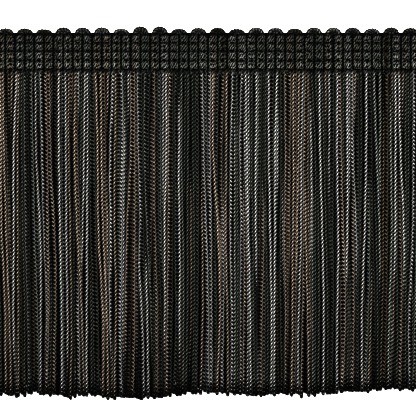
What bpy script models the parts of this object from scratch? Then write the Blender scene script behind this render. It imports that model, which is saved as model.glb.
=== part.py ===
"""A chainette cord fringe hanging from a knitted heading with a scalloped top edge.

The trim lies face up on a flat surface. X runs along the trim, +Y points to the
scalloped edge and +Z is up, out of the face. The origin is at the bottom centre of
the whole trim. Two sub-parts are built, each one closed body:

heading  the knitted band: two raised yarn bundles under each scallop, crossed by the
         grooves in which the binding chains lie, on a flat back
fringe   the cords, a front layer over a back layer, with their roots joined by a
         narrow strip just below the heading
"""

import math
import random

import bmesh
import bpy
import numpy as np

# Driving dimensions, in metres
SCALLOP_PITCH = 0.0079
SCALLOP_COUNT = 24
OVERALL_HEIGHT = 0.1534
CORDS_PER_SCALLOP = 5
HEADING_THICKNESS = 0.0030
CORD_WIDTH = 0.0012
LAYER_GAP = 0.00035
SEAM_GAP = 0.0003

# Distances down from the crests of the scallops, in metres
VALLEY_DROP = 0.0024
HEADING_DROP = 0.0168
STRIP_DROP = HEADING_DROP + SEAM_GAP
STRIP_HEIGHT = 0.0012
ROOT_DROP = STRIP_DROP + 0.0004

# Heights, as shares of the heading's thickness
CHAIN_GROOVE = 0.66
RIM = 0.50

LENGTH = SCALLOP_PITCH * SCALLOP_COUNT
CREST_Y = OVERALL_HEIGHT / 2

# Places across one scallop, as shares of its pitch, with the height of the raised
# yarn bundles there and the rise of the scalloped edge, both as shares of one
SCALLOP_SECTIONS = (
    # place, bundle, rise
    (-0.50, 0.0, 0.00),
    (-0.36, 1.0, 0.10),
    (-0.14, 1.0, 0.92),
    (0.00, 0.0, 1.00),
    (0.14, 1.0, 0.92),
    (0.36, 1.0, 0.10),
)
BUNDLE_RELIEF = 0.22

# Rows of the heading, from its lower edge up to the feet of the scallops
HEADING_ROWS = (
    # metres below the crests, share of the thickness
    (0.0168, 0.62),
    (0.0161, 0.93),
    (0.0150, 1.00),
    (0.0140, CHAIN_GROOVE),
    (0.0131, 0.97),
    (0.0113, 0.97),
    (0.0104, CHAIN_GROOVE),
    (0.0095, 0.95),
    (0.0077, 0.95),
    (0.0068, CHAIN_GROOVE),
    (0.0059, 0.93),
    (0.0041, 0.93),
    (0.0032, CHAIN_GROOVE),
)

# Rows that follow the scalloped outline, from the top groove out to the edge
SCALLOP_ROWS = (
    # share of the way from the top groove to the outline, share of the thickness
    (0.35, 0.92),
    (0.80, 0.86),
    (1.00, RIM),
)

# The lower ends follow a slow wave along the trim, and each cord hangs a little
# longer or shorter than its neighbours
END_WAVES = (
    # height, turns along the trim, phase
    (0.0016, 0.87, -0.65),
    (0.0007, 2.50, 1.58),
)
END_UNEVENNESS = 0.0019
END_SEED = 29

# The cords sway a little sideways on their way down, and neighbours sway together
SWAY = 0.00022
SWAY_TURNS = 1.3
SWAY_WAVELENGTH = 0.047
CORD_RUNS = 4

# Inside the strip the cords lie a little higher, on five levels in turn
ROOT_LIFT = 0.0001
ROOT_STEP = 0.00005
ROOT_LEVELS = 5
STRIP_COVER = 0.0005

HEADING_COLOUR = (0.030, 0.032, 0.028, 1.0)
FRINGE_COLOUR = (0.085, 0.080, 0.068, 1.0)


def clear_scene():
    """Remove every object that the file holds."""
    for obj in list(bpy.data.objects):
        bpy.data.objects.remove(obj, do_unlink=True)


def new_collection(name):
    """Make a collection in the scene."""
    collection = bpy.data.collections.new(name)
    bpy.context.scene.collection.children.link(collection)
    return collection


def place(obj, collection):
    """Move an object into one collection only."""
    for holder in list(obj.users_collection):
        holder.objects.unlink(obj)
    collection.objects.link(obj)


def yarn_material(name, colour):
    """Matt knitted yarn."""
    material = bpy.data.materials.new(name)
    material.use_nodes = True
    shader = material.node_tree.nodes["Principled BSDF"]
    shader.inputs["Base Color"].default_value = colour
    shader.inputs["Roughness"].default_value = 0.85
    shader.inputs["Metallic"].default_value = 0.0
    return material


def scallop_columns():
    """The heading's columns from end to end: x, bundle share and rise share.

    Each scallop repeats the same sections, and one last column closes the far end.
    """
    sections = np.array(SCALLOP_SECTIONS)
    centres = (np.arange(SCALLOP_COUNT) - (SCALLOP_COUNT - 1) / 2) * SCALLOP_PITCH
    x = (centres[:, None] + sections[None, :, 0] * SCALLOP_PITCH).ravel()
    bundle = np.tile(sections[:, 1], SCALLOP_COUNT)
    rise = np.tile(sections[:, 2], SCALLOP_COUNT)
    return np.append(x, LENGTH / 2), np.append(bundle, 0.0), np.append(rise, 0.0)


def heading_surface():
    """The heading's front face: its x, y and z on a grid of columns and rows.

    A plain row lies level. A scallop row lies a share of the way from the top groove
    to the outline, which rises from the valleys to the crests. A bundle stands proud
    of the gaps beside it by BUNDLE_RELIEF of the thickness there.
    """
    x, bundle, rise = scallop_columns()
    rows = np.array(HEADING_ROWS)
    edge_rows = np.array(SCALLOP_ROWS)
    outline = CREST_Y - VALLEY_DROP * (1.0 - rise)
    top_groove = CREST_Y - rows[-1, 0]
    plain_y = np.repeat((CREST_Y - rows[:, 0])[:, None], len(x), axis=1)
    edge_y = top_groove + edge_rows[:, :1] * (outline[None, :] - top_groove)
    y = np.vstack((plain_y, edge_y))
    level = np.concatenate((rows[:, 1], edge_rows[:, 1]))
    z = HEADING_THICKNESS * level[:, None] * (1.0 - BUNDLE_RELIEF * (1.0 - bundle[None, :]))
    return np.broadcast_to(x, y.shape), y, z


def make_heading(collection, material):
    """The knitted band: a grid shaped as the front face, walled down to a flat back."""
    x, y, z = heading_surface()
    row_count, column_count = x.shape
    bpy.ops.mesh.primitive_grid_add(
        x_subdivisions=column_count - 1, y_subdivisions=row_count - 1, size=1.0
    )
    heading = bpy.context.object
    heading.name = "heading"
    mesh = heading.data
    points = np.empty(len(mesh.vertices) * 3)
    mesh.vertices.foreach_get("co", points)
    points = points.reshape(-1, 3)
    column = np.rint((points[:, 0] + 0.5) * (column_count - 1)).astype(int)
    row = np.rint((points[:, 1] + 0.5) * (row_count - 1)).astype(int)
    shaped = np.stack((x[row, column], y[row, column], z[row, column]), axis=1)
    mesh.vertices.foreach_set("co", shaped.ravel())

    shape = bmesh.new()
    shape.from_mesh(mesh)
    rim_edges = [edge for edge in shape.edges if edge.is_boundary]
    walls = bmesh.ops.extrude_edge_only(shape, edges=rim_edges)
    for item in walls["geom"]:
        if isinstance(item, bmesh.types.BMVert):
            item.co.z = 0.0
    back_edges = [edge for edge in shape.edges if edge.is_boundary]
    bmesh.ops.edgeloop_fill(shape, edges=back_edges)
    bmesh.ops.recalc_face_normals(shape, faces=shape.faces)
    shape.to_mesh(mesh)
    shape.free()
    mesh.update()
    mesh.materials.append(material)
    mesh.shade_smooth()
    mesh.set_sharp_from_angle(angle=math.radians(50))
    place(heading, collection)
    return heading


def end_height(x, chance):
    """How far a cord's lower end lies above the lowest level that ends may reach."""
    wave = 0.0
    for height, turns, phase in END_WAVES:
        wave += height * (1.0 + math.sin(math.tau * turns * x / LENGTH + phase))
    return wave + END_UNEVENNESS * chance.random()


def cord_rows():
    """Each layer of cords: the place of every cord along the trim, and its level."""
    pitch = SCALLOP_PITCH / CORDS_PER_SCALLOP
    front_count = SCALLOP_COUNT * CORDS_PER_SCALLOP
    back = [(index - (front_count - 2) / 2) * pitch for index in range(front_count - 1)]
    front = [(index - (front_count - 1) / 2) * pitch for index in range(front_count)]
    back_level = CORD_WIDTH / 2
    front_level = back_level + CORD_WIDTH + LAYER_GAP
    return ((back, back_level), (front, front_level))


def cord_routes():
    """Every cord's points from root to end, with the lowest end at the trim's foot.

    A cord starts inside the strip, a little higher than it lies, comes down to its
    own level within the first run, sways sideways as a sine and ends level.
    """
    chance = random.Random(END_SEED)
    cords = []
    for places, level in cord_rows():
        for index, x in enumerate(places):
            root = level + ROOT_LIFT + ROOT_STEP * (2 * index % ROOT_LEVELS)
            cords.append((x, level, root, end_height(x, chance)))
    lowest = min(height for _, _, _, height in cords)
    root_y = CREST_Y - ROOT_DROP
    routes = []
    for x, level, root, height in cords:
        end_y = CREST_Y - OVERALL_HEIGHT + height - lowest
        route = []
        for run in range(CORD_RUNS + 1):
            share = run / CORD_RUNS
            sway = SWAY * share * math.sin(math.tau * (SWAY_TURNS * share + x / SWAY_WAVELENGTH))
            z = root if run == 0 else level
            route.append((x + sway, root_y + (end_y - root_y) * share, z))
        routes.append(route)
    return routes


def make_cords(collection):
    """All the cords as square tubes along their routes, then as one mesh.

    A curve's bevel of the lowest resolution has four corners, and a tilt of an eighth
    of a turn lays one of the four faces level.
    """
    curve = bpy.data.curves.new("cords", "CURVE")
    curve.dimensions = "3D"
    curve.twist_mode = "Z_UP"
    curve.bevel_depth = CORD_WIDTH / math.sqrt(2)
    curve.bevel_resolution = 0
    curve.use_fill_caps = True
    for route in cord_routes():
        spline = curve.splines.new("POLY")
        spline.points.add(len(route) - 1)
        for point, place_on_route in zip(spline.points, route):
            point.co = (*place_on_route, 1.0)
            point.tilt = math.tau / 8
    guide = bpy.data.objects.new("cord_guide", curve)
    collection.objects.link(guide)
    evaluated = guide.evaluated_get(bpy.context.evaluated_depsgraph_get())
    mesh = bpy.data.meshes.new_from_object(evaluated)
    cords = bpy.data.objects.new("fringe", mesh)
    cords.matrix_world = guide.matrix_world
    collection.objects.link(cords)
    bpy.data.objects.remove(guide, do_unlink=True)

    shape = bmesh.new()
    shape.from_mesh(mesh)
    bmesh.ops.remove_doubles(shape, verts=shape.verts, dist=0.000001)
    bmesh.ops.recalc_face_normals(shape, faces=shape.faces)
    shape.to_mesh(mesh)
    shape.free()
    mesh.update()
    return cords


def make_strip(cutters):
    """The narrow strip that joins the roots, as a guide for the union."""
    bpy.ops.mesh.primitive_cube_add(size=1.0)
    strip = bpy.context.object
    strip.name = "root_strip_guide"
    thickness = 2 * CORD_WIDTH + LAYER_GAP + STRIP_COVER
    strip.location = (0.0, CREST_Y - STRIP_DROP - STRIP_HEIGHT / 2, thickness / 2)
    strip.scale = (LENGTH, STRIP_HEIGHT, thickness)
    bpy.context.view_layer.update()
    strip.data.transform(strip.matrix_world)
    strip.matrix_world.identity()
    strip.hide_render = True
    strip.display_type = "WIRE"
    place(strip, cutters)
    return strip


def make_fringe(collection, cutters, material):
    """The cords with their roots joined by the strip, as one body."""
    fringe = make_cords(collection)
    fringe.data.materials.clear()
    fringe.data.materials.append(material)
    union = fringe.modifiers.new("roots", "BOOLEAN")
    union.operation = "UNION"
    union.solver = "EXACT"
    union.object = make_strip(cutters)
    return fringe


def main():
    """Build the trim."""
    clear_scene()
    trim = new_collection("tassel_fringe_trim")
    cutters = new_collection("guides")
    make_heading(trim, yarn_material("heading_yarn", HEADING_COLOUR))
    make_fringe(trim, cutters, yarn_material("cord_yarn", FRINGE_COLOUR))


main()
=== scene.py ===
"""Dresses the tassel fringe trim: chainette cords hanging from a knitted heading.

The trim lies face up. X runs along it, +Y points to its scalloped edge and +Z is up.
Every cord is one loop of chain knitted yarn: it leaves the heading's last row, runs down
in the front layer, turns back at its foot and returns in the back layer. The heading is
a knitted ground with two yarn columns under each scallop, plain cords along the columns'
sides that arch over into the scallops, and five chains of black thread that bind it.
"""

from __future__ import annotations

import logging
import math
from dataclasses import dataclass, field
from enum import Enum
from typing import NamedTuple

import bpy
import numpy as np
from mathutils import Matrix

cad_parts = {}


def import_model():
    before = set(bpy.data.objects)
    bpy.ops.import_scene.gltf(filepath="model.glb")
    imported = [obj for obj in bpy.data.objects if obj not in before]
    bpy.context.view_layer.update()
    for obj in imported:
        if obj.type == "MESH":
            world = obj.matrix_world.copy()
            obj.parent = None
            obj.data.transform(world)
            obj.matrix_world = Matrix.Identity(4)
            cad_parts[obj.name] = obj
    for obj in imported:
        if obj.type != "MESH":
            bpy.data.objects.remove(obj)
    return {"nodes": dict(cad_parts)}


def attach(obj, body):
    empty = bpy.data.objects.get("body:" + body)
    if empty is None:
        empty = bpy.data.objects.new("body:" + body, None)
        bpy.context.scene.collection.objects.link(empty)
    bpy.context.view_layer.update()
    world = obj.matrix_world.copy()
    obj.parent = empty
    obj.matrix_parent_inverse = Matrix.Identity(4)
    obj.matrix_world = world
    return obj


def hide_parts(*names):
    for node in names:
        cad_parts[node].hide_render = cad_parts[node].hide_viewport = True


LOG = logging.getLogger("fringe")
BODY = "root"
MM = 0.001


def srgb(red: float, green: float, blue: float) -> tuple[float, float, float, float]:
    """Linear colour of a screen colour.

    Args:
        red, green, blue: screen values from 0 to 255.

    Returns:
        The linear red, green, blue and an alpha of 1.
    """
    screen = np.array((red, green, blue)) / 255.0
    linear = np.where(screen <= 0.04045, screen / 12.92, ((screen + 0.055) / 1.055) ** 2.4)
    return (*(float(value) for value in linear), 1.0)


@dataclass(frozen=True)
class PhotoFrame:
    """Turns columns and rows of the photograph into metres on the trim."""

    pixel: float = 0.41 * MM
    middle_column: float = 208.0
    crest_row: float = 27.3
    crest_y: float = 76.7 * MM
    size: float = 416.0

    def x(self, column: np.ndarray | float) -> np.ndarray | float:
        """Place along the trim of a column of the photograph."""
        return (column - self.middle_column) * self.pixel

    def y(self, row: np.ndarray | float) -> np.ndarray | float:
        """Place across the trim of a row of the photograph."""
        return self.crest_y - (row - self.crest_row) * self.pixel

    def row(self, y: np.ndarray | float) -> np.ndarray | float:
        """Row of the photograph of a place across the trim."""
        return self.crest_row + (self.crest_y - y) / self.pixel


PHOTO = PhotoFrame()


class Yarn(Enum):
    """The yarns that the trim is made of, by the letter that the charts use."""

    TAN = "T"
    BROWN = "B"
    SILVER = "S"
    GREY = "G"
    DARK = "D"
    THREAD = "K"


class Depth(Enum):
    """How a cord lies at one place, by the letter that the chart uses."""

    HIGH = "h"
    FRONT = "f"
    UNDER = "u"


class Cord(NamedTuple):
    """One row of the chart: a cord's yarn, its columns from root to foot, its depths."""

    letter: str
    root: float
    quarter: float
    half: float
    three_quarters: float
    foot: float
    depths: str

    @property
    def yarn(self) -> Yarn:
        """Its yarn."""
        return Yarn(self.letter.upper())

    @property
    def darker(self) -> bool:
        """Whether it is of a darker lot."""
        return self.letter.islower()

    @property
    def columns(self) -> np.ndarray:
        """Its five columns."""
        return np.array(self[1:6])


# One row for each cord. Its yarn, in a small letter for a darker lot; its column in the
# photograph at the heading, at a quarter, half and three quarters of its length and at its
# foot; and at each of the five whether it lies high (h), in front (f) or under (u)
CORD_CHART = (
    ("D", -21.1, -20.9, -20.7, -20.5, -20.7, "fffff"),
    ("G", -17.5, -17.7, -17.1, -16.5, -16.7, "hhhff"),
    ("T", -13.7, -13.3, -13.5, -12.7, -12.9, "fffhh"),
    ("S", -9.9, -10.3, -9.4, -8.3, -8.9, "hhhhh"),
    ("D", -6.3, -6.5, -5.7, -4.1, -4.7, "fffff"),
    ("G", -2.9, -2.1, -0.9, -1.3, -1.5, "ffhuu"),
    ("D", -4.5, -4.3, -3.3, 0.7, 1.5, "uuuff"),
    ("T", 0.5, 1.3, 2.1, 5.5, 6.1, "fffff"),
    ("T", 3.5, 4.5, 6.4, 9.8, 11.5, "hhhhh"),
    ("t", 6.3, 7.4, 8.9, 7.9, 8.7, "ufffu"),
    ("t", 9.1, 9.1, 10.4, 11.9, 13.1, "fufuu"),
    ("T", 12.3, 10.9, 11.1, 12.9, 13.9, "fuuuu"),
    ("S", 16.6, 14.3, 13.9, 13.9, 15.1, "hhhhu"),
    ("g", 17.7, 16.9, 16.1, 16.1, 16.9, "uuuuf"),
    ("T", 19.3, 17.7, 18.1, 18.5, 18.5, "fffff"),
    ("b", 20.9, 20.3, 20.4, 21.6, 22.7, "uufff"),
    ("D", 22.1, 21.9, 23.4, 24.7, 25.1, "fffff"),
    ("g", 24.8, 25.5, 26.1, 28.1, 29.3, "fhhff"),
    ("d", 27.9, 28.5, 29.1, 30.5, 31.5, "fffff"),
    ("G", 31.5, 32.7, 34.5, 37.5, 38.3, "hhhhf"),
    ("b", 32.9, 31.3, 31.9, 34.0, 35.1, "uuuff"),
    ("s", 35.7, 36.4, 40.5, 41.0, 40.9, "ffhhh"),
    ("g", 38.3, 37.9, 38.1, 39.3, 39.5, "uufuu"),
    ("s", 40.8, 42.4, 44.5, 46.7, 44.3, "hhffu"),
    ("D", 38.9, 39.7, 42.5, 43.5, 43.7, "fuuuu"),
    ("T", 45.9, 47.3, 48.3, 48.6, 47.1, "fffff"),
    ("T", 49.3, 50.5, 54.5, 55.7, 53.9, "hhhhh"),
    ("D", 52.1, 52.1, 51.3, 51.5, 50.7, "fuuff"),
    ("b", 55.7, 56.5, 57.7, 58.3, 57.9, "ffuuu"),
    ("S", 59.3, 59.0, 60.6, 61.7, 62.5, "hhhhh"),
    ("g", 62.5, 62.4, 63.4, 64.1, 64.7, "fffff"),
    ("s", 65.7, 66.0, 66.8, 67.7, 67.1, "ffhhu"),
    ("T", 68.9, 69.0, 70.3, 71.7, 70.7, "fffff"),
    ("t", 71.9, 71.5, 72.3, 73.5, 73.3, "fuuuu"),
    ("d", 73.5, 73.7, 74.1, 74.9, 75.1, "uufff"),
    ("T", 75.3, 75.0, 77.3, 82.1, 83.7, "fhhhf"),
    ("t", 77.5, 77.3, 79.7, 84.1, 84.9, "uffuu"),
    ("S", 78.5, 78.3, 77.9, 78.5, 79.3, "fuuff"),
    ("D", 81.7, 81.1, 80.5, 80.9, 81.5, "ffuuu"),
    ("s", 85.4, 84.5, 82.6, 81.5, 80.9, "hhfuu"),
    ("S", 87.8, 87.6, 87.0, 87.0, 86.9, "ffhhh"),
    ("D", 90.5, 90.7, 91.3, 93.7, 95.1, "fffff"),
    ("D", 89.3, 89.3, 89.5, 91.4, 92.1, "uuuff"),
    ("D", 93.3, 94.5, 95.3, 97.7, 98.4, "fffff"),
    ("T", 95.7, 97.7, 98.9, 102.9, 103.1, "hhhhh"),
    ("T", 100.6, 101.8, 103.4, 106.8, 108.3, "hhhhh"),
    ("t", 104.2, 104.9, 105.8, 104.8, 105.7, "ffffu"),
    ("T", 108.1, 107.1, 107.5, 109.5, 110.5, "fufuu"),
    ("S", 112.9, 110.8, 110.6, 110.6, 111.5, "hhhhu"),
    ("g", 114.3, 113.3, 112.7, 113.1, 112.3, "uuuuf"),
    ("T", 115.8, 115.1, 114.9, 116.1, 114.9, "ffffh"),
    ("b", 117.9, 117.5, 117.1, 117.9, 118.1, "ffuuu"),
    ("g", 119.9, 119.4, 119.1, 118.9, 118.5, "uffuu"),
    ("S", 121.7, 122.5, 121.4, 120.4, 121.5, "hhhhh"),
    ("s", 123.7, 124.6, 123.7, 123.2, 123.7, "ufffu"),
    ("D", 124.9, 126.4, 126.7, 127.9, 126.9, "ffuuu"),
    ("S", 128.5, 128.3, 127.7, 128.9, 129.3, "fuuuu"),
    ("T", 131.1, 131.1, 127.4, 125.7, 126.1, "fhhfu"),
    ("b", 132.5, 132.1, 131.7, 130.6, 129.1, "uufff"),
    ("T", 134.2, 134.5, 134.3, 134.4, 132.7, "hhhhh"),
    ("t", 136.5, 136.5, 136.7, 136.7, 137.1, "ufffu"),
    ("s", 137.7, 139.0, 140.2, 139.1, 139.1, "fffuu"),
    ("S", 139.1, 138.5, 137.7, 141.9, 143.7, "uuuhh"),
    ("D", 141.4, 141.8, 143.2, 144.1, 141.5, "ffffu"),
    ("g", 145.4, 144.6, 147.4, 151.4, 153.1, "ffffu"),
    ("S", 146.7, 146.1, 145.1, 147.3, 148.5, "uuuhh"),
    ("D", 149.3, 148.2, 149.1, 149.3, 146.5, "ffuuu"),
    ("t", 151.9, 151.5, 151.3, 149.9, 150.3, "uffuu"),
    ("T", 154.0, 154.4, 154.8, 156.7, 157.1, "ffffh"),
    ("b", 155.9, 155.9, 156.1, 158.5, 159.1, "uuuff"),
    ("D", 152.9, 152.9, 152.5, 154.1, 154.7, "uuuff"),
    ("D", 157.3, 157.3, 158.5, 160.7, 161.9, "fffff"),
    ("g", 159.7, 159.8, 161.0, 162.9, 160.5, "fhfuu"),
    ("s", 163.3, 163.0, 163.3, 163.3, 163.7, "hhuuu"),
    ("S", 166.4, 166.2, 164.8, 164.9, 164.5, "hhhfu"),
    ("T", 169.4, 169.1, 168.3, 168.0, 166.3, "ffffh"),
    ("D", 172.3, 172.5, 171.9, 171.8, 170.1, "fffff"),
    ("D", 175.5, 175.4, 175.5, 176.4, 174.1, "ffhff"),
    ("d", 178.3, 177.5, 177.3, 177.9, 177.5, "fuuuf"),
    ("S", 179.3, 178.9, 179.5, 179.5, 179.9, "uhhfu"),
    ("g", 181.2, 181.5, 182.7, 183.5, 182.9, "fffff"),
    ("b", 182.1, 181.9, 181.5, 181.2, 180.3, "uuuff"),
    ("D", 185.2, 184.7, 184.9, 185.9, 184.7, "ffuuu"),
    ("D", 187.9, 188.0, 187.6, 187.3, 186.3, "fffff"),
    ("t", 190.3, 190.5, 190.9, 191.3, 189.2, "uuhfu"),
    ("D", 192.7, 193.0, 194.0, 194.2, 192.5, "ffhff"),
    ("d", 195.3, 195.5, 195.9, 195.7, 190.3, "ffuuu"),
    ("D", 197.5, 197.7, 197.6, 197.2, 195.9, "ffffh"),
    ("S", 201.5, 203.3, 205.9, 207.7, 208.3, "hhhhh"),
    ("T", 202.9, 201.4, 202.4, 202.4, 200.9, "uufff"),
    ("g", 205.7, 206.5, 207.7, 205.3, 204.9, "ffuuf"),
    ("S", 209.8, 209.7, 210.5, 211.3, 211.1, "hffff"),
    ("T", 212.8, 212.8, 218.0, 219.6, 217.2, "hhhhh"),
    ("t", 214.6, 214.4, 219.9, 221.1, 219.3, "fufuu"),
    ("g", 217.5, 216.9, 216.1, 213.9, 213.5, "ffuuu"),
    ("D", 215.7, 215.1, 214.7, 215.6, 214.9, "uufff"),
    ("T", 223.1, 221.5, 221.1, 221.5, 221.5, "fffuu"),
    ("s", 224.1, 223.7, 223.4, 223.0, 222.1, "uuffh"),
    ("T", 226.9, 225.9, 225.8, 227.3, 227.6, "hhhhh"),
    ("b", 224.7, 224.3, 224.3, 225.1, 225.3, "fuuuu"),
    ("S", 232.7, 230.9, 230.7, 231.6, 231.4, "hhhhh"),
    ("g", 229.9, 229.3, 228.9, 229.5, 229.3, "uuuuu"),
    ("G", 235.2, 234.7, 234.5, 235.0, 234.5, "uffff"),
    ("D", 236.9, 237.0, 237.6, 237.7, 237.3, "ffhff"),
    ("s", 241.8, 240.3, 241.0, 240.9, 240.2, "hhhff"),
    ("T", 243.7, 243.4, 244.3, 244.3, 243.5, "uuffh"),
    ("S", 245.7, 246.6, 248.4, 249.9, 250.7, "hhhhh"),
    ("s", 244.5, 244.7, 246.5, 248.1, 247.3, "uffff"),
    ("s", 248.7, 248.7, 250.1, 252.1, 253.1, "ffuuu"),
    ("D", 251.5, 251.5, 252.3, 253.3, 253.9, "fffff"),
    ("d", 254.1, 253.3, 254.1, 255.7, 255.9, "ufuff"),
    ("S", 256.5, 255.6, 255.7, 256.3, 256.5, "hhfuu"),
    ("g", 258.3, 257.9, 257.5, 257.5, 258.1, "ffuuf"),
    ("D", 260.7, 259.9, 259.3, 259.5, 259.1, "fffuu"),
    ("T", 262.7, 262.1, 262.9, 261.4, 261.2, "uuhhh"),
    ("d", 263.3, 262.9, 261.3, 263.1, 263.3, "ffuuu"),
    ("D", 265.5, 265.2, 265.8, 267.4, 267.1, "fffff"),
    ("g", 266.5, 266.7, 265.1, 264.3, 264.5, "uuuff"),
    ("S", 268.7, 268.6, 270.1, 271.5, 270.9, "hhhhh"),
    ("g", 272.9, 272.3, 272.5, 269.7, 269.1, "ffuuu"),
    ("S", 277.3, 274.9, 274.8, 274.4, 273.9, "hhhhf"),
    ("s", 278.5, 277.4, 276.5, 276.3, 275.9, "ufuuu"),
    ("b", 279.7, 279.1, 277.9, 277.7, 277.9, "uuuff"),
    ("D", 281.1, 281.1, 280.7, 280.7, 281.7, "fffff"),
    ("T", 285.2, 285.5, 284.8, 285.5, 285.3, "hhhhh"),
    ("s", 283.7, 283.1, 282.7, 283.3, 283.5, "uufuu"),
    ("t", 287.5, 287.3, 287.1, 287.5, 287.5, "uuffu"),
    ("T", 289.8, 289.4, 288.7, 289.1, 289.5, "fffuu"),
    ("T", 293.2, 293.2, 292.7, 292.3, 291.3, "hhhhh"),
    ("t", 295.5, 295.5, 295.5, 294.9, 294.1, "fffff"),
    ("T", 299.2, 297.8, 297.1, 296.1, 295.9, "hhhuu"),
    ("s", 302.6, 301.1, 300.5, 298.4, 297.5, "ffhhh"),
    ("T", 305.8, 304.0, 303.5, 302.7, 301.4, "fhfhh"),
    ("T", 307.3, 305.9, 305.7, 307.3, 308.4, "uuhhh"),
    ("t", 307.7, 307.7, 308.4, 309.9, 310.1, "ffffu"),
    ("b", 308.9, 309.5, 306.3, 305.1, 304.7, "fuuuu"),
    ("s", 310.1, 310.8, 310.8, 310.1, 311.1, "uhfuu"),
    ("D", 311.7, 314.8, 315.1, 315.0, 314.7, "fffff"),
    ("g", 313.1, 312.7, 312.5, 312.5, 312.3, "uufff"),
    ("D", 315.7, 317.3, 317.9, 318.6, 318.1, "fufff"),
    ("S", 318.7, 320.0, 321.8, 323.3, 323.2, "hhhhh"),
    ("D", 321.9, 323.4, 325.7, 327.5, 327.3, "fffff"),
    ("d", 323.9, 325.7, 328.3, 325.7, 325.5, "ufuuu"),
    ("T", 325.4, 326.3, 327.9, 329.1, 328.9, "fuuuu"),
    ("s", 329.0, 328.9, 329.3, 329.5, 330.1, "hfuuu"),
    ("D", 332.9, 332.6, 332.0, 332.3, 331.1, "fffff"),
    ("D", 331.1, 330.9, 329.5, 334.1, 333.7, "uufuu"),
    ("S", 336.9, 336.9, 337.9, 336.9, 336.8, "hhhhh"),
    ("s", 335.1, 335.3, 335.1, 335.5, 335.3, "uuuuu"),
    ("T", 339.9, 340.3, 342.9, 344.3, 342.3, "fhhhh"),
    ("t", 341.5, 341.9, 341.1, 340.9, 340.9, "uuuff"),
    ("b", 343.9, 344.3, 345.3, 345.9, 344.9, "uuuuf"),
    ("D", 343.1, 343.3, 346.1, 347.5, 347.3, "ffuff"),
    ("S", 346.9, 347.0, 346.7, 346.1, 346.3, "hhhuu"),
    ("s", 349.0, 348.9, 348.5, 348.9, 349.3, "ffuuu"),
    ("D", 350.1, 350.1, 349.9, 349.9, 349.7, "uuuff"),
    ("S", 351.5, 352.3, 355.6, 355.9, 355.5, "hhhuu"),
    ("T", 354.8, 354.4, 354.7, 355.3, 355.1, "fuuuu"),
    ("T", 352.3, 351.9, 352.6, 353.1, 352.3, "uufhh"),
    ("D", 357.7, 357.5, 358.0, 357.5, 357.1, "fffff"),
    ("D", 360.8, 360.7, 360.3, 359.3, 358.9, "fffuu"),
    ("S", 365.8, 365.5, 364.3, 361.2, 361.4, "hhhhh"),
    ("d", 362.9, 362.9, 361.9, 364.5, 363.3, "uuufu"),
    ("G", 369.1, 368.7, 368.6, 367.5, 364.5, "uufhh"),
    ("D", 369.9, 370.7, 372.2, 374.1, 373.7, "ffffu"),
    ("T", 372.1, 371.9, 371.1, 370.4, 368.0, "uuufh"),
    ("b", 373.1, 372.7, 372.7, 372.1, 370.3, "uuuuf"),
    ("G", 373.3, 376.0, 378.8, 379.5, 378.9, "hhhuu"),
    ("D", 375.3, 373.9, 375.5, 377.3, 376.9, "uufff"),
    ("G", 379.7, 379.4, 380.5, 379.1, 374.3, "ffuuu"),
    ("B", 383.2, 383.0, 382.8, 381.7, 380.3, "uffff"),
    ("B", 386.9, 386.5, 386.5, 385.2, 383.9, "hhhff"),
    ("b", 388.9, 388.3, 388.5, 387.3, 385.9, "uuuuu"),
    ("G", 389.5, 390.4, 391.0, 388.8, 387.4, "uhhhh"),
    ("g", 391.9, 392.3, 390.3, 390.7, 390.1, "uuuff"),
    ("t", 391.5, 392.7, 392.5, 392.7, 392.5, "fuufu"),
    ("S", 394.7, 395.2, 394.5, 394.1, 394.5, "hhhuu"),
    ("D", 397.3, 397.3, 396.5, 396.7, 396.3, "uufff"),
    ("S", 398.7, 400.1, 403.2, 403.5, 402.7, "hhhuu"),
    ("T", 400.3, 399.5, 400.1, 400.6, 399.7, "uufhh"),
    ("T", 402.6, 402.1, 402.3, 402.7, 402.1, "fuuuu"),
    ("D", 405.3, 405.1, 405.4, 405.1, 404.3, "fffff"),
    ("D", 408.1, 407.9, 407.9, 406.5, 406.3, "fffuu"),
    ("S", 413.3, 413.1, 412.2, 408.8, 408.8, "hhhhh"),
    ("D", 410.5, 410.1, 409.5, 412.1, 410.9, "fuufu"),
    ("G", 416.5, 416.3, 415.9, 415.1, 412.3, "uufhh"),
    ("D", 414.9, 414.7, 414.1, 412.9, 410.1, "uuuuu"),
    ("T", 418.7, 418.5, 418.3, 417.7, 415.3, "ffffh"),
    ("D", 421.3, 421.7, 421.5, 420.5, 418.9, "fffff"),
    ("S", 424.7, 425.1, 424.5, 423.7, 422.7, "hhhhh"),
    ("G", 428.3, 428.5, 428.1, 427.5, 426.7, "fffff"),
    ("T", 431.7, 431.5, 431.5, 431.3, 430.7, "hhfff"),
    ("D", 434.9, 434.9, 434.7, 434.7, 434.5, "ffhff"),
    ("D", 437.7, 437.9, 437.9, 437.9, 437.9, "fffff"),
)
CORDS = tuple(Cord(*row) for row in CORD_CHART)


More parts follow.
